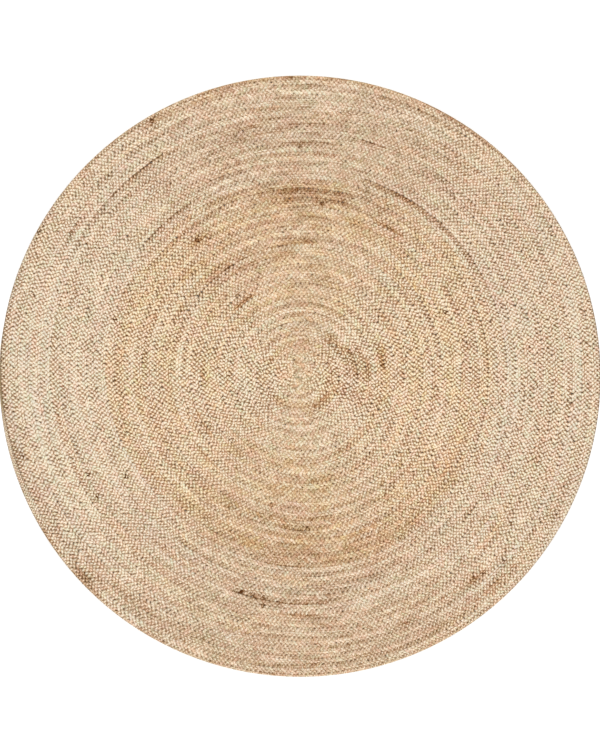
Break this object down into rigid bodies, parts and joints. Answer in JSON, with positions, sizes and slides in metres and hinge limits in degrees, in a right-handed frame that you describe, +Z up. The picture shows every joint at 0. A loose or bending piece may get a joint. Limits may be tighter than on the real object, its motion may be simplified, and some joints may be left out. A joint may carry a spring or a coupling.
{
  "type": "round jute rug",
  "caption": "Round flat rug made of one long flat jute braid, coiled outward from the centre and sewn turn to turn, with a tapered end at the rim.",
  "frame": {"origin": "centre of the flat underside, on the floor", "axes": "+Z up through the thickness, +X and +Y across the rug; seen from above the coil runs clockwise outward and its tapered end lies between 135 and 195 degrees clockwise from +X"},
  "size_m": [1.22, 1.22, 0.0085],
  "materials": {
    "braided_jute": "dry matt undyed braided jute, straw to brown with paler and darker strands"
  },
  "bodies": {
    "root": {"jute_braid_coil": "braided_jute"}
  },
  "joints": []
}
